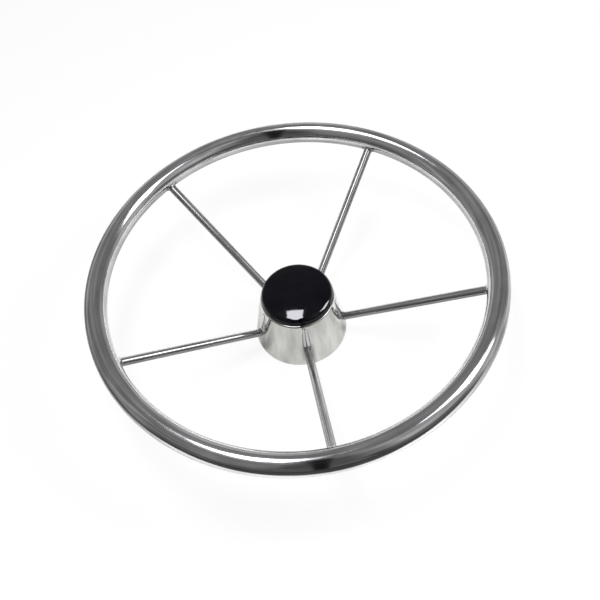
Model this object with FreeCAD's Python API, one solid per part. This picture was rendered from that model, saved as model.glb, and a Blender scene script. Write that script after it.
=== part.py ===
import FreeCAD, Part
import math
import os

from FreeCAD import Vector

# Dished boat steering wheel, five bent rods between a tube rim and a conical hub, in millimetres.
# The wheel's axis is Z, and z = 0 is the foot of the hub, which the wheel rests on.

# Rim, a ring of round tube
WHEEL_DIAMETER = 394.0
RIM_TUBE_DIAMETER = 21.0
RIM_TUBE_WALL = 1.5
RIM_HEIGHT = 90.0  # tube's centre line above the foot

# Spokes, round rods with one tight bend, the knee, at the hub's face
SPOKE_COUNT = 5
SPOKE_DIAMETER = 8.0
FIRST_SPOKE_ANGLE = 90.0
KNEE_HEIGHT = 23.2  # where the two straight lines of the rod's axis cross
KNEE_INSET = 0.5  # how far that crossing lies inside the hub's face
KNEE_INSIDE_RADIUS = 1.0  # radius left on the inner side of the bend
LEG_TOP_PROUD = 0.25  # how far the leg stands out of the hub's face at its top
RIM_WELD_LEG = 1.6

# Hub shell, a cone with its top edge turned in
HUB_FOOT_DIAMETER = 92.0
HUB_TOP_DIAMETER = 72.0
HUB_HEIGHT = 54.5
HUB_WALL = 2.0
HUB_EDGE_ROUND = 2.5
HUB_LIP_WIDTH = 5.5
HUB_FOOT_ROUND = 0.4
SLOT_CLEARANCE = 0.1  # between a rod and its slot in the shell

# Cup pressed from plate, hung under the lip between the spokes' legs
CUP_WALL = 2.0
CUP_DEPTH = 19.0  # from the top of its flange to the top of its floor
CUP_INSIDE_ROUND = 1.0
CUP_LEG_GAP = 1.5  # between its wall and a leg's end
CUP_EDGE_CLEARANCE = 0.1  # between its flange and the shell

# Boss, turned, with a tapered bore for the helm's shaft
BOSS_DIAMETER = 34.0
BOSS_FOOT_GAP = 2.0  # its lower face stands this far above the foot
BOSS_CHAMFER = 1.0
SPIGOT_DIAMETER = 28.0
SPIGOT_PROUD = 1.0
SHAFT_DIAMETER = 19.05
SHAFT_TAPER = 12.0  # length along the shaft in which its diameter falls by 1
BORE_CHAMFER = 0.6
KEYWAY_WIDTH = 4.76
KEYWAY_DEPTH = 2.4

# Washer and nut on the boss
WASHER_DIAMETER = 33.0
WASHER_HOLE_DIAMETER = 17.0
WASHER_THICKNESS = 2.4
WASHER_EDGE_ROUND = 0.3
NUT_ACROSS_FLATS = 23.8
NUT_HEIGHT = 13.9
NUT_HOLE_DIAMETER = 14.6
NUT_HOLE_CHAMFER = 0.8
NUT_CHAMFER_ANGLE = 30.0
NUT_FACE_SHARE = 0.96  # bearing face's diameter over the width across flats

# Cap, moulded, with a ring of spring fingers that enter the cup
CAP_SETBACK = 1.2  # its edge lies this far inside the cone's top corner
CAP_HEIGHT = 11.5
CAP_DOME_RADIUS = 130.0
CAP_SHOULDER_RADIUS = 5.0
CAP_WALL = 2.5
CAP_EDGE_WALL = 3.2
SKIRT_CLEARANCE = 0.4
SKIRT_WALL = 1.8
SKIRT_REACH = 10.0  # below the hub's lip
FINGER_COUNT = 6
FINGER_SLOT_WIDTH = 3.0
FINGER_BEAD_PROUD = 0.2
FINGER_BEAD_HEIGHT = 2.4

# Sizes that follow from the ones above
RIM_RADIUS = (WHEEL_DIAMETER - RIM_TUBE_DIAMETER) / 2
SPOKE_RADIUS = SPOKE_DIAMETER / 2
KNEE_RADIUS = SPOKE_RADIUS + KNEE_INSIDE_RADIUS
HUB_SLOPE = (HUB_FOOT_DIAMETER - HUB_TOP_DIAMETER) / 2 / HUB_HEIGHT
HUB_WALL_ACROSS = HUB_WALL * math.hypot(1, HUB_SLOPE)
LIP_UNDERSIDE = HUB_HEIGHT - HUB_WALL
FLANGE_UNDERSIDE = LIP_UNDERSIDE - CUP_WALL
FLOOR_TOP = LIP_UNDERSIDE - CUP_DEPTH
FLOOR_UNDERSIDE = FLOOR_TOP - CUP_WALL
SPIGOT_TOP = FLOOR_TOP + SPIGOT_PROUD
WASHER_TOP = SPIGOT_TOP + WASHER_THICKNESS

# Lengths that only have to be long enough to cut through
OVERSIZE = 10.0

ORIGIN = Vector(0, 0, 0)
UP = Vector(0, 0, 1)
ACROSS = Vector(0, 1, 0)


def hub_radius(height):
    """Outer radius of the hub's cone at a height above its foot."""
    return HUB_FOOT_DIAMETER / 2 - HUB_SLOPE * height


def hub_inside_radius(height):
    """Inner radius of the hub's cone at a height above its foot."""
    return hub_radius(height) - HUB_WALL_ACROSS


def lip_inside_round():
    """Rounding left inside the turned-in edge of the hub."""
    return max(HUB_EDGE_ROUND - HUB_WALL, HUB_FOOT_ROUND)


def knee_point():
    """Where the two straight lines of a spoke's axis cross, in the XZ plane."""
    return Vector(hub_radius(KNEE_HEIGHT) - KNEE_INSET, 0, KNEE_HEIGHT)


def leg_top_point():
    """Upper end of the axis of a spoke's leg, under the cup's flange."""
    inset = SPOKE_RADIUS - LEG_TOP_PROUD
    return Vector(hub_radius(FLANGE_UNDERSIDE) - inset, 0, FLANGE_UNDERSIDE)


def rim_point():
    """Outer end of a spoke's axis, on the centre line of the rim's tube."""
    return Vector(RIM_RADIUS, 0, RIM_HEIGHT)


def cup_outside_radius():
    """Outer radius of the cup's wall, just inside the ends of the legs."""
    along_leg = leg_top_point() - knee_point()
    half_section = SPOKE_RADIUS * along_leg.Length / along_leg.z
    return leg_top_point().x - half_section - CUP_LEG_GAP


def cup_inside_radius():
    """Inner radius of the cup's wall, which the cap's fingers enter."""
    return cup_outside_radius() - CUP_WALL


def bore_radius(height):
    """Radius of the tapered bore at a height above the foot."""
    return (SHAFT_DIAMETER - (height - BOSS_FOOT_GAP) / SHAFT_TAPER) / 2


def one_solid(shape):
    """The single solid that a cut or a fuse leaves, with its split faces joined."""
    return shape.removeSplitter().Solids[0]


def straight(start, end):
    """Straight edge between two points."""
    return Part.LineSegment(start, end).toShape()


def curve(start, middle, end):
    """Round edge through three points."""
    return Part.Arc(start, middle, end).toShape()


def turned(edges):
    """Solid of revolution about Z from the closed outline that these edges make."""
    face = Part.Face(Part.Wire(edges))
    return Part.Solid(face.revolve(ORIGIN, UP, 360))


def turned_outline(corners):
    """Solid of revolution whose outline has the corners (radius, height, rounding)."""
    points = [Vector(radius, 0, height) for radius, height, rounding in corners]
    edges = []
    ends = []
    for index, corner in enumerate(points):
        rounding = corners[index][2]
        back = (points[index - 1] - corner).normalize()
        forth = (points[(index + 1) % len(points)] - corner).normalize()
        half_angle = back.getAngle(forth) / 2
        reach = rounding / math.tan(half_angle)
        first = corner + back * reach
        last = corner + forth * reach
        ends.append((first, last))
        if rounding:
            depth = rounding / math.sin(half_angle) - rounding
            middle = corner + (back + forth).normalize() * depth
            edges.append(curve(first, middle, last))
    for index, (first, last) in enumerate(ends):
        edges.append(straight(ends[index - 1][1], first))
    return turned(Part.__sortEdges__(edges))


def make_rim():
    """Ring of hollow tube."""
    outside = Part.makeTorus(RIM_RADIUS, RIM_TUBE_DIAMETER / 2)
    inside = Part.makeTorus(RIM_RADIUS, RIM_TUBE_DIAMETER / 2 - RIM_TUBE_WALL)
    rim = outside.cut(inside)
    rim.translate(UP * RIM_HEIGHT)
    return rim.Solids[0]


def make_rod(radius):
    """Bent rod along +X, from the flange over the knee to the rim's centre line."""
    knee = knee_point()
    to_leg = (leg_top_point() - knee).normalize()
    to_rim = (rim_point() - knee).normalize()
    half_angle = to_leg.getAngle(to_rim) / 2
    reach = KNEE_RADIUS / math.tan(half_angle)
    leg_start = knee + to_leg * reach
    run_start = knee + to_rim * reach
    bend_centre = knee + (to_leg + to_rim).normalize() * (KNEE_RADIUS / math.sin(half_angle))
    turn = 180 - math.degrees(2 * half_angle)

    leg_length = leg_top_point().distanceToPoint(leg_start) + radius
    run_length = rim_point().distanceToPoint(run_start)
    leg = Part.makeCylinder(radius, leg_length, leg_start, to_leg)
    run = Part.makeCylinder(radius, run_length, run_start, to_rim)
    section = Part.Face(Part.Wire(Part.makeCircle(radius, leg_start, to_leg)))
    bend = section.revolve(bend_centre, ACROSS * -1, turn)
    rod = leg.fuse([Part.Solid(bend), run])

    above = Part.makeBox(2 * OVERSIZE, 2 * OVERSIZE, OVERSIZE)
    above.translate(Vector(leg_top_point().x - OVERSIZE, -OVERSIZE, FLANGE_UNDERSIDE))
    return one_solid(rod.cut(above))


def make_rim_weld():
    """Bead round the rod's end where it meets the rim."""
    to_knee = (knee_point() - rim_point()).normalize()
    start = rim_point() + to_knee * (RIM_TUBE_DIAMETER / 2 - RIM_WELD_LEG)
    return Part.makeCone(SPOKE_RADIUS + 2 * RIM_WELD_LEG, SPOKE_RADIUS, 2 * RIM_WELD_LEG, start, to_knee)


def at_spoke_angle(shape, index):
    """Copy of a shape made along +X, turned to a spoke's place."""
    copy = shape.copy()
    copy.rotate(ORIGIN, UP, FIRST_SPOKE_ANGLE + index * 360 / SPOKE_COUNT)
    return copy


def make_spoke():
    """Spoke along +X, coped to the rim's tube."""
    rod = make_rod(SPOKE_RADIUS).fuse(make_rim_weld())
    tube = Part.makeTorus(RIM_RADIUS, RIM_TUBE_DIAMETER / 2)
    tube.translate(UP * RIM_HEIGHT)
    return one_solid(rod.cut(tube))


def make_hub_shell():
    """Cone with its top edge turned in, slotted for the spokes."""
    lip_opening = hub_radius(HUB_HEIGHT) - HUB_LIP_WIDTH
    shell = turned_outline([
        (hub_radius(0), 0, HUB_FOOT_ROUND),
        (hub_radius(HUB_HEIGHT), HUB_HEIGHT, HUB_EDGE_ROUND),
        (lip_opening, HUB_HEIGHT, HUB_FOOT_ROUND),
        (lip_opening, LIP_UNDERSIDE, HUB_FOOT_ROUND),
        (hub_inside_radius(LIP_UNDERSIDE), LIP_UNDERSIDE, lip_inside_round()),
        (hub_inside_radius(0), 0, HUB_FOOT_ROUND),
    ])
    slot = make_rod(SPOKE_RADIUS + SLOT_CLEARANCE)
    return one_solid(shell.cut([at_spoke_angle(slot, index) for index in range(SPOKE_COUNT)]))


def make_hub_cup():
    """Flanged cup that carries the boss on its floor."""
    flange_radius = hub_inside_radius(LIP_UNDERSIDE) - CUP_EDGE_CLEARANCE
    outside_round = CUP_INSIDE_ROUND + CUP_WALL
    return turned_outline([
        (SPIGOT_DIAMETER / 2, FLOOR_UNDERSIDE, 0),
        (cup_outside_radius(), FLOOR_UNDERSIDE, outside_round),
        (cup_outside_radius(), FLANGE_UNDERSIDE, CUP_INSIDE_ROUND),
        (flange_radius, FLANGE_UNDERSIDE, 0),
        (flange_radius, LIP_UNDERSIDE, lip_inside_round()),
        (cup_inside_radius(), LIP_UNDERSIDE, outside_round),
        (cup_inside_radius(), FLOOR_TOP, CUP_INSIDE_ROUND),
        (SPIGOT_DIAMETER / 2, FLOOR_TOP, 0),
    ])


def make_keyway():
    """Cutter for the keyway, in line with the first spoke, its floor parallel to the taper."""
    length = SPIGOT_TOP - BOSS_FOOT_GAP + 2 * OVERSIZE
    keyway = Part.makeBox(SHAFT_DIAMETER / 2 + KEYWAY_DEPTH, KEYWAY_WIDTH, length)
    keyway.translate(Vector(0, -KEYWAY_WIDTH / 2, BOSS_FOOT_GAP - OVERSIZE))
    lean = math.degrees(math.atan(1 / (2 * SHAFT_TAPER)))
    keyway.rotate(Vector(SHAFT_DIAMETER / 2 + KEYWAY_DEPTH, 0, BOSS_FOOT_GAP), ACROSS, -lean)
    keyway.rotate(ORIGIN, UP, FIRST_SPOKE_ANGLE)
    return keyway


def make_hub_boss():
    """Turned boss with a spigot through the cup's floor and a tapered, keyed bore."""
    mouth = bore_radius(BOSS_FOOT_GAP)
    end = bore_radius(SPIGOT_TOP)
    boss = turned_outline([
        (mouth + BORE_CHAMFER, BOSS_FOOT_GAP, 0),
        (BOSS_DIAMETER / 2 - BOSS_CHAMFER, BOSS_FOOT_GAP, 0),
        (BOSS_DIAMETER / 2, BOSS_FOOT_GAP + BOSS_CHAMFER, 0),
        (BOSS_DIAMETER / 2, FLOOR_UNDERSIDE, 0),
        (SPIGOT_DIAMETER / 2, FLOOR_UNDERSIDE, 0),
        (SPIGOT_DIAMETER / 2, SPIGOT_TOP, 0),
        (end, SPIGOT_TOP, 0),
        (bore_radius(BOSS_FOOT_GAP + BORE_CHAMFER), BOSS_FOOT_GAP + BORE_CHAMFER, 0),
    ])
    return one_solid(boss.cut(make_keyway()))


def make_washer():
    """Plain washer on the spigot's top."""
    return turned_outline([
        (WASHER_HOLE_DIAMETER / 2, SPIGOT_TOP, 0),
        (WASHER_DIAMETER / 2, SPIGOT_TOP, 0),
        (WASHER_DIAMETER / 2, WASHER_TOP, WASHER_EDGE_ROUND),
        (WASHER_HOLE_DIAMETER / 2, WASHER_TOP, WASHER_EDGE_ROUND),
    ])


def make_shaft_nut():
    """Hexagon nut on the washer, its corners and its hole's mouths chamfered."""
    corner_radius = NUT_ACROSS_FLATS / math.sqrt(3)
    corners = [Vector(corner_radius, 0, 0)]
    for index in range(6):
        turn = math.radians(60 * (index + 1))
        corners.append(Vector(corner_radius * math.cos(turn), corner_radius * math.sin(turn), 0))
    prism = Part.Face(Part.makePolygon(corners)).extrude(UP * NUT_HEIGHT)

    face_radius = NUT_ACROSS_FLATS * NUT_FACE_SHARE / 2
    drop = (corner_radius - face_radius) * math.tan(math.radians(NUT_CHAMFER_ANGLE))
    hole = NUT_HOLE_DIAMETER / 2
    chamfered = turned_outline([
        (hole + NUT_HOLE_CHAMFER, 0, 0),
        (face_radius, 0, 0),
        (corner_radius, drop, 0),
        (corner_radius, NUT_HEIGHT - drop, 0),
        (face_radius, NUT_HEIGHT, 0),
        (hole + NUT_HOLE_CHAMFER, NUT_HEIGHT, 0),
        (hole, NUT_HEIGHT - NUT_HOLE_CHAMFER, 0),
        (hole, NUT_HOLE_CHAMFER, 0),
    ])
    nut = prism.common(chamfered)
    nut.translate(UP * WASHER_TOP)
    return one_solid(nut)


def on_dome(radius, dome_radius, dome_centre):
    """Point of a dome's outline at a radius from the axis."""
    return Vector(radius, 0, dome_centre + math.sqrt(dome_radius ** 2 - radius ** 2))


def dome_edge(start_radius, end_radius, dome_radius, dome_centre):
    """Edge along a dome's outline."""
    middle_radius = (start_radius + end_radius) / 2
    return curve(
        on_dome(start_radius, dome_radius, dome_centre),
        on_dome(middle_radius, dome_radius, dome_centre),
        on_dome(end_radius, dome_radius, dome_centre),
    )


def make_centre_cap():
    """Domed cap that sits on the lip, with a slotted skirt in the cup."""
    edge = hub_radius(HUB_HEIGHT) - CAP_SETBACK
    edge_inside = edge - CAP_EDGE_WALL
    skirt_outside = cup_inside_radius() - SKIRT_CLEARANCE
    skirt_inside = skirt_outside - SKIRT_WALL
    skirt_bottom = HUB_HEIGHT - SKIRT_REACH
    bead_top = skirt_bottom + FINGER_BEAD_HEIGHT
    dome_centre = HUB_HEIGHT + CAP_HEIGHT - CAP_DOME_RADIUS
    inner_dome = CAP_DOME_RADIUS - CAP_WALL

    # The shoulder is round between the upright edge and the dome.
    shoulder_x = edge - CAP_SHOULDER_RADIUS
    shoulder_z = on_dome(shoulder_x, CAP_DOME_RADIUS - CAP_SHOULDER_RADIUS, dome_centre).z
    shoulder_centre = Vector(shoulder_x, 0, shoulder_z)
    from_dome_centre = (shoulder_centre - UP * dome_centre).normalize()
    shoulder_top = shoulder_centre + from_dome_centre * CAP_SHOULDER_RADIUS
    outwards = (from_dome_centre + Vector(1, 0, 0)).normalize()
    shoulder_middle = shoulder_centre + outwards * CAP_SHOULDER_RADIUS

    edges = [
        straight(Vector(edge, 0, HUB_HEIGHT), Vector(edge, 0, shoulder_z)),
        curve(Vector(edge, 0, shoulder_z), shoulder_middle, shoulder_top),
        dome_edge(shoulder_top.x, 0, CAP_DOME_RADIUS, dome_centre),
        straight(UP * (dome_centre + CAP_DOME_RADIUS), UP * (dome_centre + inner_dome)),
        dome_edge(0, skirt_inside, inner_dome, dome_centre),
        straight(on_dome(skirt_inside, inner_dome, dome_centre), Vector(skirt_inside, 0, skirt_bottom)),
        straight(Vector(skirt_inside, 0, skirt_bottom), Vector(skirt_outside, 0, skirt_bottom)),
        curve(
            Vector(skirt_outside, 0, skirt_bottom),
            Vector(skirt_outside + FINGER_BEAD_PROUD, 0, (skirt_bottom + bead_top) / 2),
            Vector(skirt_outside, 0, bead_top),
        ),
        straight(Vector(skirt_outside, 0, bead_top), on_dome(skirt_outside, inner_dome, dome_centre)),
        dome_edge(skirt_outside, edge_inside, inner_dome, dome_centre),
        straight(on_dome(edge_inside, inner_dome, dome_centre), Vector(edge_inside, 0, HUB_HEIGHT)),
        straight(Vector(edge_inside, 0, HUB_HEIGHT), Vector(edge, 0, HUB_HEIGHT)),
    ]
    slots = []
    for index in range(FINGER_COUNT):
        slot = Part.makeBox(skirt_outside + OVERSIZE, FINGER_SLOT_WIDTH, SKIRT_REACH + OVERSIZE)
        slot.translate(Vector(0, -FINGER_SLOT_WIDTH / 2, skirt_bottom - OVERSIZE))
        slot.rotate(ORIGIN, UP, index * 360 / FINGER_COUNT)
        slots.append(slot)
    return one_solid(turned(edges).cut(slots))


def main():
    pieces = {
        "rim": make_rim(),
        "hub_shell": make_hub_shell(),
        "hub_cup": make_hub_cup(),
        "hub_boss": make_hub_boss(),
        "washer": make_washer(),
        "shaft_nut": make_shaft_nut(),
        "centre_cap": make_centre_cap(),
    }
    spoke = make_spoke()
    for index in range(SPOKE_COUNT):
        pieces["spoke_%d" % (index + 1)] = at_spoke_angle(spoke, index)

    os.makedirs("parts", exist_ok=True)
    for name, shape in pieces.items():
        shape.exportStep("parts/%s.step" % name)
        print(name, "volume", round(shape.Volume), "valid", shape.isValid(), "solids", len(shape.Solids))


main()
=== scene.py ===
import math

import bpy
from mathutils import Matrix, Vector


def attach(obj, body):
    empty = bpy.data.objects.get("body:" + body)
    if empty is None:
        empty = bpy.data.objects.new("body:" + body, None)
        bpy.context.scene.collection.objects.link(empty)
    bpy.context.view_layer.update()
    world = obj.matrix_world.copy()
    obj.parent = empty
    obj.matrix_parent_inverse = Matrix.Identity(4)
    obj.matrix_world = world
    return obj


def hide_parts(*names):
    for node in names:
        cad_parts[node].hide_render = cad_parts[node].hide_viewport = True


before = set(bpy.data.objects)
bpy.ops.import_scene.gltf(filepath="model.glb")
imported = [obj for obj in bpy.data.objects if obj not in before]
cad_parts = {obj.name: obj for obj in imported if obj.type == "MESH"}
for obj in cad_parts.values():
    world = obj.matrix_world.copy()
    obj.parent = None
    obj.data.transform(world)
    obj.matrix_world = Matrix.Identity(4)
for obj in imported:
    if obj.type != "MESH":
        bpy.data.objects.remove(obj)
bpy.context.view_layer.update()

# The photograph's camera, in metres and degrees, with its lens and sensor in millimetres
CAMERA_PLACE = Vector((0.0022, -0.4254, 0.6735))
CAMERA_ELEVATION = 55.82
CAMERA_ROLL = 8.10
CAMERA_LENS = 46.5
SENSOR_WIDTH = 36.0
VIEW_TURN = 32.36  # the photograph's frame is turned this far about the wheel's axis
CLOSE_UP_CLIP = 0.01
FAR_CLIP = 50.0

# Rim and spokes, in metres as in the model
RIM_RADIUS = 0.1865
TUBE_RADIUS = 0.0105
RIM_HEIGHT = 0.090
RIM_STEPS = 720
TUBE_STEPS = 64
SPOKE_COUNT = 5
SPOKE_RADIUS = 0.004
FIRST_SPOKE_ANGLE = 90.0
KNEE = Vector((0.041243, 0.0, 0.0232))
LEG_TOP = Vector((0.032984, 0.0, 0.0505))
KNEE_RADIUS = 0.005
KNEE_STEPS = 24
ROD_STEPS = 40
LEG_STEPS = 4
RUN_STEPS = 40
WELD_REACH = 0.0030
WELD_STEPS = 10
WELD_DEPTH = 0.0003
DEPTH_STEPS = 60  # tries to reach the rim's tube, each nearer
ROD_CREASE = 50.0  # edges that turn by more degrees than this stay sharp

# Nut
NUT_FOOT = 0.0369
NUT_HEIGHT = 0.0139
NUT_FLATS = 0.0238
NUT_HOLE_RADIUS = 0.0073
NUT_HOLE_CHAMFER = 0.0008
NUT_FACE_SHARE = 0.96
NUT_CHAMFER_ANGLE = 30.0
THREAD_PITCH = 0.00141
THREAD_DEPTH = 0.0007
THREAD_FLANK = 1.7
NUT_SIDES = 6
NUT_SIDE_STEPS = 24
THREAD_ROWS = 120
NUT_CREASE = 25.0

# Welds inside the hub
BOSS_RADIUS = 0.017
CUP_FLOOR_UNDERSIDE = 0.0315
INNER_WELD_LEG = 0.0013
BEAD_PITCH = 0.0016
BEAD_STEPS = 16
RIPPLE_STEPS = 6
BOSS_BEAD_SINK = 0.25  # where the bead's middle lies and how thick it is, as shares of its leg
BOSS_BEAD_THICKNESS = 0.55
BOSS_BEAD_RIPPLE = 0.07
LEG_BEAD_SINK = 0.2
LEG_BEAD_THICKNESS = 0.6
LEG_BEAD_RIPPLE = 0.08
LEG_BEAD_RIPPLES = 16
LEG_BEAD_FROM = 95.0  # degrees round the leg, on the side of the wheel's axis
LEG_BEAD_SWEEP = 170.0
BEAD_CREASE = 60.0

# Ranges of noise that are spread over a finish's roughness and over its tones
NOISE_RANGE = (0.3, 0.7)
TONE_RANGE = (0.38, 0.62)

# Polished steel: how often marks, clouds and waves come in a metre, and how deep they are
MARKS_ALONG = 14.0
MARKS_ACROSS = 480.0
MARKS_SHARE = 0.65
STEEL_CLOUDS = 30.0
STEEL_WAVES = 38.0
MARK_DEPTH = 0.00003
WAVE_DEPTH = 0.0003
STEEL_TONES = (0.50, 0.78)
STEEL_ROUGHNESS = (0.06, 0.14)

# Rods: where their painted shade on the sides, underside and knee begins and ends, and how dark each is
# there
ROD_SIDE = (0.40 * SPOKE_RADIUS, 0.85 * SPOKE_RADIUS, 0.0, 0.68)
ROD_UNDERSIDE = (-0.50 * SPOKE_RADIUS, 0.10 * SPOKE_RADIUS, 0.85, 0.0)
ROD_KNEE = (0.0030, 0.0070, 0.8, 0.0)
ROD_DARK = 0.10
ROD_ROUGHER = 0.08
KNEE_ROUGHER = 0.2

# Satin hub: upright bands, which are painted reflection in its tone, the lip, and painted shade under the
# knees
BAND_STRETCH = 6.0
BROAD_BANDS = 5.0
FINE_BANDS = 46.0
BROAD_SHARE = 0.8
BAND_DEPTH = 0.0006
RING_DEPTH = 0.000002
SATIN_DARK = (0.585, 0.59, 0.56, 1.0)
SATIN_PALE = (0.745, 0.75, 0.71, 1.0)
SATIN_PAINTED_SHADE = (0.16, 0.16, 0.155, 1.0)
SATIN_ROUGHNESS = (0.17, 0.26)
SATIN_DRAWN_OUT = 0.8  # how far its gloss is drawn out across the lines
LIP_FROM = 0.0513  # smoother above this height
LIP_BLEND = 0.0012
LIP_SMOOTHER = 0.35
LIP_SLOPE = 0.29  # beside the cap the lip's top is dressed to this slope
LIP_DRESSED_TO = 0.0350
CORNER_SLOPE = 1.05  # and gets steeper from there to the round of its corner
CORNER_FROM = 0.0358
CORNER_BLEND = (0.0002, 0.0001)  # before and after that place
KNEE_SHADE_HEIGHT = 0.016
KNEE_SHADE_ASIDE = (0.0035, 0.0085, 0.5, 0.0)
KNEE_SHADE_BELOW = (0.006, 0.016, 1.0, 0.0)

# Lines round the wheel's axis, as turning leaves them, for each metre across them and along them
LINES_ACROSS = 5200.0
LINES_ALONG = 45.0
LINES_OUTWARDS = 0.7  # on a flat face they follow each other outwards at this share
QUARTER_TURN = 0.25

# Turned and rolled steel: clouds for each metre, and what they add to the tone and to the roughness
TURNED_CLOUDS = 55.0
TURNED_TONES = (-0.03, 0.03)
TURNED_ROUGHNESS = (-0.05, 0.05)
ROLLED_CLOUDS = 70.0
ROLLED_TONES = (-0.05, 0.04)
ROLLED_ROUGHNESS = (-0.06, 0.08)
PIT_DEPTH = 0.00001

# Cap's plastic
CAP_BLACK = (0.0003, 0.0003, 0.0018, 1.0)
CAP_DUST = (0.03, 0.03, 0.035, 1.0)
DUST_GRAIN = 2600.0
DUST_SPECKS = (0.72, 0.80, 0.0, 0.35)
CAP_RIPPLES = 160.0
RIPPLE_DEPTH = 0.00001
CAP_CLOUDS = 90.0
CAP_ROUGHNESS = (0.035, 0.085)
CAP_IOR = 1.42
CAP_SIDE = (0.0575, 0.0605, 0.10, 0.5)  # less gloss below the shoulder: heights, and gloss at each

# Floor, which in reflections is a table with a front and a left edge, in the photograph's frame
FLOOR_RADIUS = 4.0
FLOOR_SIDES = 96
FLOOR_WHITE = (0.85, 0.85, 0.85, 1.0)
FLOOR_ROUGHNESS = 0.7
FLOOR_SHOWN = 0.88  # share of white that the camera sees whatever the light
TABLE_MIRRORED = 0.72  # how pale the table is in reflections
TABLE_FRONT = -0.31
TABLE_LEFT = -0.29
BEYOND_FRONT = 0.06  # how pale what lies beyond the edges is in reflections
BEYOND_LEFT = 0.12
TABLE_EDGE_SOFTNESS = 0.05
FRONT_CLOUDS = 9.0
FRONT_WAVE = 0.01
# Where the table gets paler or darker, as painted light and shade: along 0 the width or 1 the depth, from,
# to, times before, times after
TABLE_RAMPS = [
    (1, -0.20, -0.14, 1.25, 0.72),
    (0, 0.12, 0.42, 1.15, 0.42),
    (1, -0.06, -0.01, 1.0, 1.4),
    (1, 0.03, 0.11, 1.0, 0.58),
    (1, 0.5, 0.7, 1.0, 0.45),
]
GRAZING_POWER = 4.0
GRAZING_PAINTED_SHEEN = (0.0, 0.1, 0.5, 5.0)  # painted sheen at grazing angles, standing for the table's gloss, near and far

# Room that the steel mirrors, in degrees in the photograph's frame
WHITE = (1.0, 1.0, 1.0, 1.0)
ROOM_TONE = (0.23, 0.23, 0.235, 1.0)
ROOM_BLUER = 1.02
ROOM_CLUTTER = 3.2
CLUTTER_RANGE = (0.72, 1.28)
# Azimuth, half and soft edge, elevation, half and soft edge, brightness
ROOM_PATCHES = [
    (0.0, 180.0, 1.0, 0.0, 4.0, 10.0, 0.36),
    (112.0, 26.0, 14.0, 25.0, 42.0, 12.0, 0.47),
    (0.0, 30.0, 12.0, 0.0, 5.0, 7.0, 0.65),
    (36.0, 16.0, 8.0, 11.0, 7.0, 8.0, 0.42),
    (-36.0, 16.0, 8.0, 11.0, 7.0, 8.0, 0.42),
    (7.0, 4.0, 6.0, 10.0, 14.0, 6.0, 0.50),
    (-105.0, 50.0, 20.0, 75.0, 5.0, 6.0, 0.38),
    (-87.0, 3.0, 6.0, 33.0, 12.0, 8.0, 0.42),
    (180.0, 62.0, 20.0, 4.0, 12.0, 8.0, 0.14),
    (178.0, 20.0, 10.0, 10.0, 14.0, 8.0, 0.06),
    (180.0, 14.0, 16.0, 40.0, 40.0, 12.0, 0.12),
]
# Dark upright bar behind the camera: its sides' soft edge, and its pitch's middle, half and soft edge
BAR_TONE = (0.015, 0.015, 0.015, 1.0)
BAR_WIDTH = (0.035, 0.070, 1.0, 0.0)
BAR_PITCH = (46.0, 42.0, 6.0)

# Lamps that light the floor and cap, and that other steel mirrors: place, aim, width, height, brightness
LAMPS = [
    ("overhead", (-0.165, 0.01, 1.06), (-0.165, 0.01, 0.0), 0.27, 0.44, 22.0),
    ("right", (0.90, -0.06, 0.98), (0.0, -0.06, 0.1), 0.56, 0.50, 15.0),
]
# What the cap mirrors: place, aim, width, height and roll
CAP_LAMPS = [
    ("overhead_in_cap", (-0.145, -0.175, 1.395), (-0.145, -1.005, 0.845), 0.224, 1.28, -8.0),
    ("right_in_cap", (0.95, -0.117, 0.78), (0.0, -0.117, 0.06), 0.50, 0.60, 0.0),
]
# What the rim mirrors, far off: shape, azimuth, elevation, width and height for each metre of distance, roll
RIM_LAMPS = [
    ("overhead_in_rim", "ELLIPSE", -33.8, 75.6, 0.235, 0.53, -45.0),
    ("right_in_rim", "RECTANGLE", 85.2, 53.4, 0.60, 0.29, 71.0),
]
RIM_LAMP_DISTANCE = 20.0
IN_STEEL = 3.0
IN_CAP = 24.0
LAMP_WHITE = (1.0, 1.0, 1.0)
MIRRORED_WHITE = (0.94, 0.94, 1.0)


def turned_to_view(vector):
    """A vector given in the photograph's frame, in the model's frame."""
    return Matrix.Rotation(math.radians(VIEW_TURN), 3, "Z") @ vector


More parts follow.
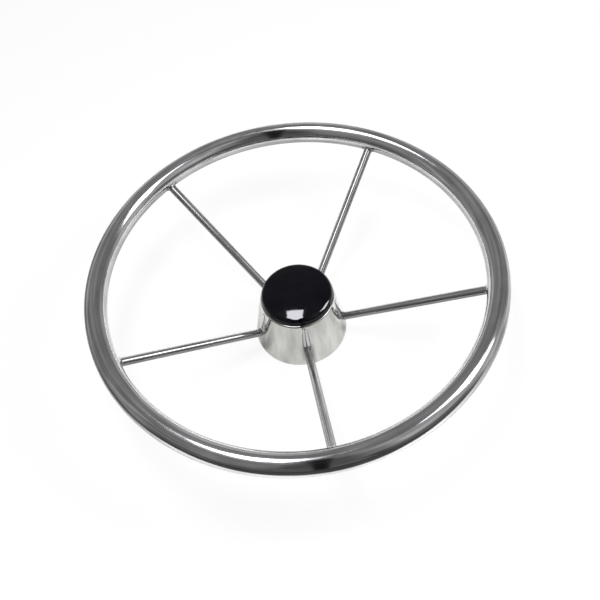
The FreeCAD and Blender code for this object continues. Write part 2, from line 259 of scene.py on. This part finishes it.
class Nodes:
    """Adds and links the nodes of one node tree."""

    def __init__(self, tree):
        self.tree = tree
        tree.nodes.clear()

    def add(self, kind, values=None, **settings):
        """A new node with its settings, and its inputs by name: numbers, or sockets to link."""
        node = self.tree.nodes.new(kind)
        for name, value in settings.items():
            setattr(node, name, value)
        for name, value in (values or {}).items():
            socket = node.inputs[name]
            if isinstance(value, bpy.types.NodeSocket):
                self.tree.links.new(value, socket)
            else:
                socket.default_value = value
        return node

    def math(self, operation, first, second=0.0, third=0.0):
        """Result of one sum; each term is a number or a socket."""
        node = self.add("ShaderNodeMath", {0: first, 1: second, 2: third}, operation=operation)
        return node.outputs[0]

    def spread(self, value, low, high, to_low, to_high, kind="LINEAR"):
        """A value mapped from one range to another."""
        inputs = {"Value": value, "From Min": low, "From Max": high, "To Min": to_low, "To Max": to_high}
        return self.add("ShaderNodeMapRange", inputs, interpolation_type=kind).outputs["Result"]

    def over_noise(self, noise, low_value, high_value):
        """A noise's usual range mapped to another range."""
        return self.spread(noise, *NOISE_RANGE, low_value, high_value)

    def window(self, value, centre, half, soft, wraps=False):
        """1 within a range of angles given in degrees, falling softly to 0 outside it."""
        apart = self.math("SUBTRACT", value, math.radians(centre))
        if wraps:
            apart = self.math("WRAP", apart, math.pi, -math.pi)
        apart = self.math("ABSOLUTE", apart)
        return self.spread(apart, math.radians(half), math.radians(half + soft), 1.0, 0.0, "SMOOTHSTEP")

    def mix(self, share, first, second):
        """Mix of two colours."""
        node = self.add("ShaderNodeMix", data_type="RGBA")
        for socket, value in zip((node.inputs[0], node.inputs[6], node.inputs[7]), (share, first, second)):
            if isinstance(value, bpy.types.NodeSocket):
                self.tree.links.new(value, socket)
            else:
                socket.default_value = value
        return node.outputs[2]

    def own_place(self):
        """Where a point lies in its own object."""
        return self.add("ShaderNodeTexCoord").outputs["Object"]

    def parts(self, vector):
        """The three parts of a vector."""
        return self.add("ShaderNodeSeparateXYZ", {0: vector}).outputs

    def vector(self, first, second, third):
        """A vector from its three parts."""
        return self.add("ShaderNodeCombineXYZ", {0: first, 1: second, 2: third}).outputs[0]

    def from_axis(self, parts):
        """Distance of a place from the wheel's axis."""
        first = self.math("MULTIPLY", parts[0], parts[0])
        second = self.math("MULTIPLY", parts[1], parts[1])
        return self.math("SQRT", self.math("ADD", first, second))

    def turn_back(self, place):
        """A place or direction in the photograph's frame."""
        inputs = {"Vector": place, "Angle": -math.radians(VIEW_TURN)}
        return self.add("ShaderNodeVectorRotate", inputs, rotation_type="Z_AXIS").outputs[0]

    def noise(self, place, scale, detail=3.0):
        """Cloudy pattern."""
        values = {"Vector": place, "Scale": scale, "Detail": detail}
        return self.add("ShaderNodeTexNoise", values).outputs["Fac"]

    def bump(self, height, depth, normal=None):
        """Normal that makes a height pattern this deep, on top of another normal where one is given."""
        values = {"Height": height, "Distance": depth, "Strength": 1.0}
        if normal is not None:
            values["Normal"] = normal
        return self.add("ShaderNodeBump", values).outputs["Normal"]


def new_material(name):
    """An empty material and the helper that fills its tree."""
    material = bpy.data.materials.new(name)
    material.use_nodes = True
    return material, Nodes(material.node_tree)


def finish_material(nodes, shader):
    """Links a shader to the output."""
    nodes.add("ShaderNodeOutputMaterial", {"Surface": shader})


def principled(nodes, values):
    """Shader of one surface."""
    return nodes.add("ShaderNodeBsdfPrincipled", values).outputs["BSDF"]


def grey(value, warmth=0.0):
    """A grey, a little warm or cold."""
    return (value, value * (1 - warmth / 4), value * (1 - warmth), 1.0)


def add_streaks(nodes, place, across):
    """Fine marks of the polishing belt, long along each tube and rod; across is the section's place."""
    parts = nodes.parts(place)
    lay = nodes.vector(
        nodes.math("MULTIPLY", nodes.math("ADD", parts[0], parts[2]), MARKS_ALONG),
        nodes.math("MULTIPLY", parts[1], MARKS_ALONG),
        nodes.math("MULTIPLY", across[0], MARKS_ACROSS),
    )
    fourth = nodes.math("MULTIPLY", across[1], MARKS_ACROSS)
    values = {"Vector": lay, "W": fourth, "Scale": 1.0, "Detail": 4.0}
    return nodes.add("ShaderNodeTexNoise", values, noise_dimensions="4D").outputs["Fac"]


def add_turning_lines(nodes, parts, height):
    """Fine lines round the wheel's axis, each at its own height."""
    lay = nodes.vector(
        nodes.math("MULTIPLY", parts[0], LINES_ALONG),
        nodes.math("MULTIPLY", parts[1], LINES_ALONG),
        nodes.math("MULTIPLY", height, LINES_ACROSS),
    )
    return nodes.noise(lay, 1.0)


def round_axis(nodes):
    """Direction of the lines that turning leaves, for the shader's gloss."""
    return nodes.add("ShaderNodeTangent", direction_type="RADIAL", axis="Z").outputs[0]


def make_polished_steel(name, with_painted_shade):
    """Bright steel with polishing marks; with painted shade, rods are darker at their sides, underneath and
    in the knee.
    """
    material, nodes = new_material(name)
    place = nodes.own_place()
    section = nodes.add("ShaderNodeAttribute", attribute_name="section").outputs["Vector"]
    across = nodes.parts(section)
    streak = add_streaks(nodes, place, across)
    cloud = nodes.noise(place, STEEL_CLOUDS)
    waves = nodes.noise(place, STEEL_WAVES, detail=1.0)
    haze = nodes.math(
        "ADD",
        nodes.math("MULTIPLY", streak, MARKS_SHARE),
        nodes.math("MULTIPLY", cloud, 1 - MARKS_SHARE),
    )
    tone = nodes.spread(haze, *TONE_RANGE, 0.0, 1.0)
    colour = nodes.mix(tone, *[grey(value) for value in STEEL_TONES])
    rough = nodes.over_noise(haze, *STEEL_ROUGHNESS)
    if with_painted_shade:
        # Painted shade: the rods are darker at their sides, where they would mirror the dark room,
        # underneath, and in the knee.
        side = nodes.spread(nodes.math("ABSOLUTE", across[0]), *ROD_SIDE)
        under = nodes.spread(across[1], *ROD_UNDERSIDE)
        knee = nodes.spread(nodes.math("ABSOLUTE", across[2]), *ROD_KNEE, "SMOOTHSTEP")
        painted_shade = nodes.math("MAXIMUM", nodes.math("MAXIMUM", side, under), knee)
        colour = nodes.mix(painted_shade, colour, grey(ROD_DARK))
        rougher = nodes.math("ADD", nodes.math("MULTIPLY", knee, KNEE_ROUGHER), ROD_ROUGHER)
        rough = nodes.math("ADD", rough, rougher)
    shader = principled(nodes, {
        "Base Color": colour,
        "Metallic": 1.0,
        "Roughness": rough,
        "Normal": nodes.bump(streak, MARK_DEPTH, nodes.bump(waves, WAVE_DEPTH)),
    })
    finish_material(nodes, shader)
    return material


def add_painted_knee_shade(nodes, parts, flat):
    """Share of painted shade on the hub: 1 at most under each knee, and 0 away from them; flat is the
    distance from the axis.
    """
    sector = 2 * math.pi / SPOKE_COUNT
    turn = nodes.math("SUBTRACT", nodes.math("ARCTAN2", parts[1], parts[0]), math.radians(FIRST_SPOKE_ANGLE))
    turn = nodes.math("WRAP", turn, sector / 2, -sector / 2)
    aside = nodes.math("MULTIPLY", nodes.math("ABSOLUTE", turn), flat)
    below = nodes.math("ABSOLUTE", nodes.math("SUBTRACT", parts[2], KNEE_SHADE_HEIGHT))
    return nodes.math(
        "MULTIPLY",
        nodes.spread(aside, *KNEE_SHADE_ASIDE, "SMOOTHSTEP"),
        nodes.spread(below, *KNEE_SHADE_BELOW, "SMOOTHSTEP"),
    )


def dress_lip(nodes, parts, flat, normal):
    """The shading normal, with the lip's top sloped outwards where it lies beside the cap."""
    slope = nodes.spread(flat, LIP_DRESSED_TO, CORNER_FROM, LIP_SLOPE, CORNER_SLOPE)
    sloped = nodes.vector(
        nodes.math("MULTIPLY", nodes.math("DIVIDE", parts[0], flat), slope),
        nodes.math("MULTIPLY", nodes.math("DIVIDE", parts[1], flat), slope),
        1.0,
    )
    before, after = CORNER_BLEND
    on_lip = nodes.math(
        "MULTIPLY",
        nodes.math("GREATER_THAN", parts[2], LIP_FROM),
        nodes.spread(flat, CORNER_FROM - before, CORNER_FROM + after, 1.0, 0.0),
    )
    mixed = nodes.mix(on_lip, normal, sloped)
    return nodes.add("ShaderNodeVectorMath", {0: mixed}, operation="NORMALIZE").outputs[0]


def make_hub_steel():
    """Satin steel with soft upright bands of painted reflection, smoother on the lip and with painted shade
    below the knees.
    """
    material, nodes = new_material("brushed_steel")
    parts = nodes.parts(nodes.own_place())
    flat = nodes.from_axis(parts)
    upright = nodes.vector(
        nodes.math("DIVIDE", parts[0], flat),
        nodes.math("DIVIDE", parts[1], flat),
        nodes.math("MULTIPLY", parts[2], BAND_STRETCH),
    )
    bands = nodes.noise(upright, BROAD_BANDS, detail=2.0)
    fine = nodes.noise(upright, FINE_BANDS, detail=2.0)
    rings = add_turning_lines(nodes, parts, parts[2])
    # Painted reflection: the upright bands lighten and darken the tone, as mirrored surroundings would; in
    # the bump they are waviness.
    painted_reflection_bands = nodes.math(
        "ADD",
        nodes.math("MULTIPLY", bands, BROAD_SHARE),
        nodes.math("MULTIPLY", fine, 1 - BROAD_SHARE),
    )
    # Painted shade: the hub is darker under each knee, where the rods shade it and are mirrored in it.
    painted_shade = add_painted_knee_shade(nodes, parts, flat)
    tone = nodes.mix(nodes.spread(painted_reflection_bands, *TONE_RANGE, 0.0, 1.0), SATIN_DARK, SATIN_PALE)
    dullness = nodes.spread(parts[2], LIP_FROM, LIP_FROM + LIP_BLEND, 1.0, LIP_SMOOTHER, "SMOOTHSTEP")
    worn = nodes.bump(rings, RING_DEPTH, nodes.bump(bands, BAND_DEPTH))
    shader = principled(nodes, {
        "Base Color": nodes.mix(painted_shade, tone, SATIN_PAINTED_SHADE),
        "Metallic": 1.0,
        "Roughness": nodes.math("MULTIPLY", nodes.over_noise(rings, *SATIN_ROUGHNESS), dullness),
        "Anisotropic": SATIN_DRAWN_OUT,
        "Anisotropic Rotation": QUARTER_TURN,
        "Tangent": round_axis(nodes),
        "Normal": dress_lip(nodes, parts, flat, worn),
    })
    finish_material(nodes, shader)
    return material


def make_turned_steel(name, value, warmth, rough, depth, anisotropic):
    """Steel with the fine lines of turning round its axis."""
    material, nodes = new_material(name)
    place = nodes.own_place()
    parts = nodes.parts(place)
    outwards = nodes.math("MULTIPLY", nodes.from_axis(parts), LINES_OUTWARDS)
    lines = add_turning_lines(nodes, parts, nodes.math("ADD", parts[2], outwards))
    cloud = nodes.noise(place, TURNED_CLOUDS)
    shader = principled(nodes, {
        "Base Color": nodes.mix(cloud, *[grey(value + more, warmth) for more in TURNED_TONES]),
        "Metallic": 1.0,
        "Roughness": nodes.over_noise(lines, *[rough + more for more in TURNED_ROUGHNESS]),
        "Anisotropic": anisotropic,
        "Anisotropic Rotation": QUARTER_TURN,
        "Tangent": round_axis(nodes),
        "Normal": nodes.bump(lines, depth),
    })
    finish_material(nodes, shader)
    return material


def make_rolled_steel(name, value, warmth, rough, grain):
    """Steel with the mottled skin of rolled plate or of tumbled hardware."""
    material, nodes = new_material(name)
    place = nodes.own_place()
    cloud = nodes.noise(place, ROLLED_CLOUDS, detail=4.0)
    pits = nodes.noise(place, grain, detail=2.0)
    shader = principled(nodes, {
        "Base Color": nodes.mix(cloud, *[grey(value + more, warmth) for more in ROLLED_TONES]),
        "Metallic": 1.0,
        "Roughness": nodes.over_noise(cloud, *[rough + more for more in ROLLED_ROUGHNESS]),
        "Normal": nodes.bump(pits, PIT_DEPTH),
    })
    finish_material(nodes, shader)
    return material


def make_cap_plastic():
    """Glossy near-black moulding with a faint ripple in its skin and a little dust."""
    material, nodes = new_material("cap_plastic")
    place = nodes.own_place()
    ripple = nodes.noise(place, CAP_RIPPLES, detail=1.0)
    cloud = nodes.noise(place, CAP_CLOUDS, detail=5.0)
    specks = nodes.spread(nodes.noise(place, DUST_GRAIN, detail=1.0), *DUST_SPECKS)
    shader = principled(nodes, {
        "Base Color": nodes.mix(specks, CAP_BLACK, CAP_DUST),
        "Roughness": nodes.over_noise(cloud, *CAP_ROUGHNESS),
        "IOR": CAP_IOR,
        "Specular IOR Level": nodes.spread(nodes.parts(place)[2], *CAP_SIDE, "SMOOTHSTEP"),
        "Normal": nodes.bump(ripple, RIPPLE_DEPTH),
    })
    finish_material(nodes, shader)
    return material


def new_object(name, points, faces):
    """Mesh object from plain points and faces."""
    mesh = bpy.data.meshes.new(name)
    mesh.from_pydata([tuple(point) for point in points], [], faces)
    mesh.validate()
    piece = bpy.data.objects.new(name, mesh)
    bpy.context.scene.collection.objects.link(piece)
    return piece


def dress(piece, material, body="wheel", sharp=None):
    """Shades a piece smoothly, paints it and lets it ride on its body."""
    mesh = piece.data
    mesh.polygons.foreach_set("use_smooth", [True] * len(mesh.polygons))
    if sharp is not None:
        mesh.set_sharp_from_angle(angle=math.radians(sharp))
    mesh.materials.append(material)
    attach(piece, body)


def ring_object(name, rings, joined=False, capped=False):
    """Mesh through rings of points; joined closes it on itself and capped closes its ends."""
    count = len(rings[0])
    points = [point for ring in rings for point in ring]
    faces = []
    last = len(rings) if joined else len(rings) - 1
    for row in range(last):
        first = row * count
        second = (row + 1) % len(rings) * count
        for step in range(count):
            after = (step + 1) % count
            faces.append((first + step, first + after, second + after, second + step))
    if capped:
        faces.append(tuple(reversed(range(count))))
        faces.append(tuple(range((len(rings) - 1) * count, len(rings) * count)))
    return new_object(name, points, faces)


def note_section(piece, distances, count, radius):
    """Keeps each point's place in its ring and its ring's distance, which the finish follows."""
    attribute = piece.data.attributes.new("section", "FLOAT_VECTOR", "POINT")
    for row, distance in enumerate(distances):
        for step in range(count):
            turn = 2 * math.pi * step / count
            place = (radius * math.cos(turn), radius * math.sin(turn), distance)
            attribute.data[row * count + step].vector = place


def rim_surface(angle, turn, proud=0.0):
    """Point on the rim's tube: angle about the wheel's axis, turn about the tube's centre line."""
    reach = RIM_RADIUS + (TUBE_RADIUS + proud) * math.cos(turn)
    height = RIM_HEIGHT + (TUBE_RADIUS + proud) * math.sin(turn)
    return Vector((reach * math.cos(angle), reach * math.sin(angle), height))


def make_rim(material):
    """Ring of tube."""
    rings = []
    for step in range(RIM_STEPS):
        angle = 2 * math.pi * step / RIM_STEPS
        rings.append([rim_surface(angle, 2 * math.pi * turn / TUBE_STEPS) for turn in range(TUBE_STEPS)])
    rim = ring_object("rim_tube", rings, joined=True)
    note_section(rim, [0.0] * RIM_STEPS, TUBE_STEPS, TUBE_RADIUS)
    dress(rim, material)
    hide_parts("rim")
    return rim


def to_tube(point, proud=0.0):
    """Nearest point of the rim's tube to a point near it."""
    angle = math.atan2(point.y, point.x)
    turn = math.atan2(point.z - RIM_HEIGHT, math.hypot(point.x, point.y) - RIM_RADIUS)
    return rim_surface(angle, turn, proud)


def depth_to_tube(start, towards):
    """Distance along a straight line from a point to the rim's tube."""
    depth = 0.0
    for _ in range(DEPTH_STEPS):
        point = start + towards * depth
        across = math.hypot(point.x, point.y) - RIM_RADIUS
        depth += math.hypot(across, point.z - RIM_HEIGHT) - TUBE_RADIUS
    return depth


def ring_round(centre, side, up, radius):
    """Ring of points in the plane of two unit vectors."""
    ring = []
    for step in range(ROD_STEPS):
        turn = 2 * math.pi * step / ROD_STEPS
        ring.append(centre + side * (radius * math.cos(turn)) + up * (radius * math.sin(turn)))
    return ring


def make_spoke_rings():
    """Rings of a spoke along +X: leg cut level at its top, knee, run, and weld flaring on to the rim."""
    side = Vector((0, 1, 0))
    to_leg = (LEG_TOP - KNEE).normalized()
    to_rim = (Vector((RIM_RADIUS, 0, RIM_HEIGHT)) - KNEE).normalized()
    half = to_leg.angle(to_rim) / 2
    reach = KNEE_RADIUS / math.tan(half)
    centre = KNEE + (to_leg + to_rim).normalized() * (KNEE_RADIUS / math.sin(half))

    along = to_leg * -1
    up = along.cross(side)
    square_end = ring_round(LEG_TOP, side, up, SPOKE_RADIUS)
    rings = [[point + to_leg * ((LEG_TOP.z - point.z) / to_leg.z) for point in square_end]]
    leg_end = KNEE + to_leg * reach
    for step in range(1, LEG_STEPS):
        rings.append(ring_round(LEG_TOP.lerp(leg_end, step / LEG_STEPS), side, up, SPOKE_RADIUS))
    turn = math.pi - 2 * half
    for step in range(KNEE_STEPS + 1):
        spin = Matrix.Rotation(turn * step / KNEE_STEPS, 3, side * -1)
        rings.append(ring_round(centre + spin @ (leg_end - centre), side, spin @ up, SPOKE_RADIUS))

    up = to_rim.cross(side)
    start = KNEE + to_rim * reach
    lines = ring_round(start, side, up, SPOKE_RADIUS)
    depths = [depth_to_tube(point, to_rim) for point in lines]
    shortest = min(depths) - WELD_REACH
    for step in range(1, RUN_STEPS + 1):
        rings.append([point + to_rim * (shortest * step / RUN_STEPS) for point in lines])
    hits = [point + to_rim * depth for point, depth in zip(lines, depths)]
    for step in range(WELD_STEPS + 1):
        share = step / WELD_STEPS
        ring = []
        for point, hit in zip(lines, hits):
            outwards = (point - start).normalized()
            foot = to_tube(hit + outwards * WELD_REACH)
            begin = hit - to_rim * WELD_REACH
            ring.append(begin * (1 - share) ** 2 + hit * (2 * share * (1 - share)) + foot * share ** 2)
        rings.append(ring)
    rings.append([to_tube(point, -WELD_DEPTH) for point in rings[-1]])
    return rings


def make_spokes(material):
    """Five bent rods, each welded to the rim."""
    rings = make_spoke_rings()
    distances = [(sum(ring, Vector()) / len(ring) - KNEE).length for ring in rings]
    for index in range(SPOKE_COUNT):
        turn = Matrix.Rotation(math.radians(FIRST_SPOKE_ANGLE + index * 360 / SPOKE_COUNT), 3, "Z")
        turned = [[turn @ point for point in ring] for ring in rings]
        spoke = ring_object("spoke_rod_%d" % (index + 1), turned, capped=True)
        note_section(spoke, distances, ROD_STEPS, SPOKE_RADIUS)
        dress(spoke, material, sharp=ROD_CREASE)
        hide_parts("spoke_%d" % (index + 1))


def nut_corner_radius(angle):
    """Distance from the nut's axis to its side."""
    sector = 2 * math.pi / NUT_SIDES
    return NUT_FLATS / 2 / math.cos(angle % sector - sector / 2)


def thread_radius(angle, height):
    """Radius of the nut's hole, with its thread and its chamfered mouths."""
    phase = (height / THREAD_PITCH - angle / (2 * math.pi)) % 1
    groove = THREAD_DEPTH * min(1.0, THREAD_FLANK * (1 - abs(2 * phase - 1)))
    mouth = NUT_HOLE_CHAMFER - min(height, NUT_HEIGHT - height)
    return NUT_HOLE_RADIUS + max(groove, mouth, 0.0)


def make_nut(material):
    """Hexagon nut with chamfered corners and a threaded hole."""
    face = NUT_FLATS * NUT_FACE_SHARE / 2
    slope = math.tan(math.radians(NUT_CHAMFER_ANGLE))
    rings = []
    steps = NUT_SIDES * NUT_SIDE_STEPS
    for step in range(steps):
        angle = 2 * math.pi * step / steps
        corner = nut_corner_radius(angle)
        drop = (corner - face) * slope
        outline = [(face, 0), (corner, drop), (corner, NUT_HEIGHT - drop), (face, NUT_HEIGHT)]
        for row in range(THREAD_ROWS + 1):
            height = NUT_HEIGHT * (1 - row / THREAD_ROWS)
            outline.append((thread_radius(angle, height), height))
        rings.append([
            Vector((radius * math.cos(angle), radius * math.sin(angle), NUT_FOOT + height))
            for radius, height in outline
        ])
    nut = ring_object("threaded_nut", rings, joined=True)
    dress(nut, material, sharp=NUT_CREASE)
    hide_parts("shaft_nut")


def make_boss_weld(material):
    """Rippled bead under the cup's floor, round the boss."""
    steps = RIPPLE_STEPS * round(2 * math.pi * BOSS_RADIUS / BEAD_PITCH)
    rings = []
    for step in range(steps):
        angle = 2 * math.pi * step / steps
        ripple = BOSS_BEAD_RIPPLE * math.cos(2 * math.pi * step / RIPPLE_STEPS)
        thickness = BOSS_BEAD_THICKNESS * (1 + ripple)
        ring = []
        for turn in range(BEAD_STEPS):
            way = 2 * math.pi * turn / BEAD_STEPS
            radius = BOSS_RADIUS + INNER_WELD_LEG * (BOSS_BEAD_SINK + thickness * math.cos(way))
            height = CUP_FLOOR_UNDERSIDE - INNER_WELD_LEG * (BOSS_BEAD_SINK + thickness * math.sin(way))
            ring.append(Vector((radius * math.cos(angle), radius * math.sin(angle), height)))
        rings.append(ring)
    bead = ring_object("boss_weld", rings, joined=True)
    dress(bead, material)


def make_leg_welds(material):
    """Bead round the top of each leg, under the cup's flange."""
    axis = (KNEE - LEG_TOP).normalized()
    steps = RIPPLE_STEPS * LEG_BEAD_RIPPLES
    for index in range(SPOKE_COUNT):
        turn = Matrix.Rotation(math.radians(FIRST_SPOKE_ANGLE + index * 360 / SPOKE_COUNT), 3, "Z")
        rings = []
        for step in range(steps):
            angle = math.radians(LEG_BEAD_FROM) + math.radians(LEG_BEAD_SWEEP) * step / (steps - 1)
            radial = Vector((math.cos(angle), math.sin(angle), 0))
            ripple = LEG_BEAD_RIPPLE * math.cos(2 * math.pi * step / RIPPLE_STEPS)
            thickness = LEG_BEAD_THICKNESS * (1 + ripple)
            ring = []
            for side in range(BEAD_STEPS):
                way = 2 * math.pi * side / BEAD_STEPS
                out = SPOKE_RADIUS + INNER_WELD_LEG * (LEG_BEAD_SINK + thickness * math.cos(way))
                down = INNER_WELD_LEG * (LEG_BEAD_SINK + thickness * math.sin(way))
                ring.append(turn @ (LEG_TOP + radial * out + axis * down))
            rings.append(ring)
        bead = ring_object("leg_weld_%d" % (index + 1), rings, capped=True)
        dress(bead, material, sharp=BEAD_CREASE)


def add_mirrored_table(nodes, place):
    """How pale the table is in reflections, at each place on the floor, with painted light and shade and a
    painted sheen.
    """
    parts = nodes.parts(nodes.turn_back(place))
    left_end = TABLE_LEFT - TABLE_EDGE_SOFTNESS
    tone = nodes.spread(parts[0], left_end, TABLE_LEFT, BEYOND_LEFT, TABLE_MIRRORED, "SMOOTHSTEP")
    for axis, start, end, before, after in TABLE_RAMPS:
        tone = nodes.math("MULTIPLY", tone, nodes.spread(parts[axis], start, end, before, after))
    # Painted sheen: the table is paler at grazing angles, as its gloss would make it.
    facing = nodes.add("ShaderNodeLayerWeight").outputs["Facing"]
    grazing = nodes.math("POWER", facing, GRAZING_POWER)
    painted_sheen = nodes.math("MULTIPLY", grazing, nodes.spread(parts[1], *GRAZING_PAINTED_SHEEN))
    tone = nodes.math("MULTIPLY", tone, nodes.math("ADD", painted_sheen, 1.0))
    cloud = nodes.noise(place, FRONT_CLOUDS, detail=2.0)
    front = nodes.math("ADD", parts[1], nodes.over_noise(cloud, -FRONT_WAVE, FRONT_WAVE))
    front_end = TABLE_FRONT + TABLE_EDGE_SOFTNESS
    on_table = nodes.spread(front, TABLE_FRONT, front_end, 0.0, 1.0, "SMOOTHSTEP")
    beyond = nodes.spread(on_table, 0.0, 1.0, BEYOND_FRONT, 0.0)
    return nodes.math("ADD", nodes.math("MULTIPLY", tone, on_table), beyond)


def make_floor():
    """Round white floor under the wheel, which in reflections is a table."""
    points = []
    for side in range(FLOOR_SIDES):
        angle = 2 * math.pi * side / FLOOR_SIDES
        points.append((FLOOR_RADIUS * math.cos(angle), FLOOR_RADIUS * math.sin(angle), 0.0))
    floor = new_object("floor", points, [list(range(FLOOR_SIDES))])
    material, nodes = new_material("floor")
    tone = add_mirrored_table(nodes, nodes.own_place())
    table = nodes.add("ShaderNodeCombineColor", {0: tone, 1: tone, 2: tone}).outputs[0]
    path = nodes.add("ShaderNodeLightPath").outputs
    mirrored = nodes.math("MAXIMUM", path["Is Glossy Ray"], path["Is Transmission Ray"])
    colour = nodes.mix(mirrored, FLOOR_WHITE, table)
    surface = principled(nodes, {"Base Color": colour, "Roughness": FLOOR_ROUGHNESS})
    glow = nodes.add("ShaderNodeEmission", {"Color": WHITE, "Strength": 1.0})
    share = nodes.math("MULTIPLY", path["Is Camera Ray"], FLOOR_SHOWN)
    mixed = nodes.add("ShaderNodeMixShader", {0: share, 1: surface, 2: glow.outputs[0]})
    finish_material(nodes, mixed.outputs[0])
    floor.data.materials.append(material)
    return floor


def make_world():
    """Grey room, lighter on the right and dark behind the camera, that the camera itself sees as white."""
    world = bpy.data.worlds.new("room")
    world.use_nodes = True
    bpy.context.scene.world = world
    nodes = Nodes(world.node_tree)
    place = nodes.add("ShaderNodeTexCoord").outputs["Generated"]
    turned = nodes.turn_back(place)
    parts = nodes.parts(turned)
    azimuth = nodes.math("ARCTAN2", parts[0], parts[1])
    elevation = nodes.math("ARCSINE", parts[2])
    tone = ROOM_TONE
    for az, az_half, az_soft, el, el_half, el_soft, brightness in ROOM_PATCHES:
        share = nodes.math(
            "MULTIPLY",
            nodes.window(azimuth, az, az_half, az_soft, wraps=True),
            nodes.window(elevation, el, el_half, el_soft),
        )
        tone = nodes.mix(share, tone, (brightness, brightness, brightness * ROOM_BLUER, 1.0))
    pitch = nodes.math("ARCTAN2", parts[2], nodes.math("MULTIPLY", parts[1], -1.0))
    bar = nodes.math(
        "MULTIPLY",
        nodes.spread(nodes.math("ABSOLUTE", parts[0]), *BAR_WIDTH, "SMOOTHSTEP"),
        nodes.window(pitch, *BAR_PITCH),
    )
    tone = nodes.mix(bar, tone, BAR_TONE)
    clutter = nodes.over_noise(nodes.noise(turned, ROOM_CLUTTER, detail=5.0), *CLUTTER_RANGE)
    room = nodes.add("ShaderNodeBackground", {"Color": tone, "Strength": clutter})
    white = nodes.add("ShaderNodeBackground", {"Color": WHITE, "Strength": 1.0})
    seen = nodes.add("ShaderNodeLightPath").outputs["Is Camera Ray"]
    mixed = nodes.add("ShaderNodeMixShader", {0: seen, 1: room.outputs[0], 2: white.outputs[0]})
    nodes.add("ShaderNodeOutputWorld", {"Surface": mixed.outputs[0]})


def make_softbox(name, place, aim, width, height, radiance, colour, roll=0.0, shape="RECTANGLE"):
    """Flat lamp at a place in the photograph's frame, turned to its aim, that the camera doesn't see."""
    lamp = bpy.data.lights.new(name, "AREA")
    lamp.shape = shape
    lamp.size = width
    lamp.size_y = height
    lamp.energy = radiance * math.pi * width * height
    lamp.color = colour
    light = bpy.data.objects.new(name, lamp)
    turn = Matrix.Rotation(math.radians(VIEW_TURN), 4, "Z")
    facing = (Vector(place) - Vector(aim)).to_track_quat("Z", "Y").to_matrix().to_4x4()
    rolled = Matrix.Rotation(math.radians(roll), 4, "Z")
    light.matrix_world = turn @ Matrix.Translation(Vector(place)) @ facing @ rolled
    bpy.context.scene.collection.objects.link(light)
    light.visible_camera = False
    return light


def show_only_mirrored(light, group):
    """Lets a lamp be seen in the polish of a group's objects, and light nothing."""
    light.visible_diffuse = False
    light.light_linking.receiver_collection = group


def link_group(name, objects, state="INCLUDE"):
    """Collection of the objects that a lamp reaches, or that it leaves out."""
    group = bpy.data.collections.new(name)
    for item in objects:
        group.objects.link(item)
    for entry in group.collection_objects:
        entry.light_linking.link_state = state
    return group


def make_lamps(floor, rim):
    """Two softboxes; what lights the floor, and what the rim, other steel and cap mirror, are set apart."""
    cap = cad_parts["centre_cap"]
    lit = link_group("cap_and_floor", [cap, floor])
    cap_only = link_group("cap_only", [cap])
    rim_only = link_group("rim_only", [rim])
    other_steel = link_group("all_but_cap_and_rim", [cap, rim], "EXCLUDE")
    for name, place, aim, width, height, radiance in LAMPS:
        light = make_softbox(name, place, aim, width, height, radiance, LAMP_WHITE)
        light.visible_glossy = False
        light.light_linking.receiver_collection = lit
        light = make_softbox(name + "_in_steel", place, aim, width, height, IN_STEEL, MIRRORED_WHITE)
        show_only_mirrored(light, other_steel)
    aim = Vector((0.0, 0.0, RIM_HEIGHT))
    for name, shape, azimuth, elevation, width, height, roll in RIM_LAMPS:
        tilt = math.radians(elevation)
        turn = math.radians(azimuth)
        towards = Vector((math.sin(turn) * math.cos(tilt), math.cos(turn) * math.cos(tilt), math.sin(tilt)))
        place = aim + towards * RIM_LAMP_DISTANCE
        wide = width * RIM_LAMP_DISTANCE
        high = height * RIM_LAMP_DISTANCE
        light = make_softbox(name, place, aim, wide, high, IN_STEEL, MIRRORED_WHITE, roll, shape)
        show_only_mirrored(light, rim_only)
    for name, place, aim, width, height, roll in CAP_LAMPS:
        light = make_softbox(name, place, aim, width, height, IN_CAP, MIRRORED_WHITE, roll)
        show_only_mirrored(light, cap_only)


def make_camera():
    """Camera at the photograph's place, turn and lens."""
    data = bpy.data.cameras.new("camera")
    data.lens = CAMERA_LENS
    data.sensor_width = SENSOR_WIDTH
    data.clip_start = CLOSE_UP_CLIP
    data.clip_end = FAR_CLIP
    camera = bpy.data.objects.new("camera", data)
    turn = Matrix.Rotation(math.radians(VIEW_TURN), 4, "Z")
    tilt = Matrix.Rotation(math.radians(90 - CAMERA_ELEVATION), 4, "X")
    roll = Matrix.Rotation(math.radians(-CAMERA_ROLL), 4, "Z")
    camera.matrix_world = Matrix.Translation(turned_to_view(CAMERA_PLACE)) @ turn @ tilt @ roll
    bpy.context.scene.collection.objects.link(camera)
    bpy.context.scene.camera = camera


def paint(node, material):
    """Gives a node of the frame its material."""
    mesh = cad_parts[node].data
    mesh.materials.clear()
    mesh.materials.append(material)


polished = make_polished_steel("polished_steel", with_painted_shade=False)
polished_rod = make_polished_steel("polished_rod", with_painted_shade=True)
brushed = make_hub_steel()
machined = make_turned_steel(
    "machined_steel", value=0.66, warmth=0.02, rough=0.26, depth=0.000008, anisotropic=0.5)
pressed = make_rolled_steel("pressed_steel", value=0.62, warmth=0.03, rough=0.40, grain=900.0)
hardware = make_rolled_steel("hardware_steel", value=0.68, warmth=0.02, rough=0.30, grain=1600.0)
plastic = make_cap_plastic()

paint("hub_shell", brushed)
paint("hub_cup", pressed)
paint("hub_boss", machined)
paint("washer", hardware)
paint("centre_cap", plastic)
rim = make_rim(polished)
make_spokes(polished_rod)
make_nut(hardware)
make_boss_weld(pressed)
make_leg_welds(pressed)

floor = make_floor()
make_world()
make_lamps(floor, rim)
make_camera()
bpy.context.scene.view_settings.view_transform = "Standard"
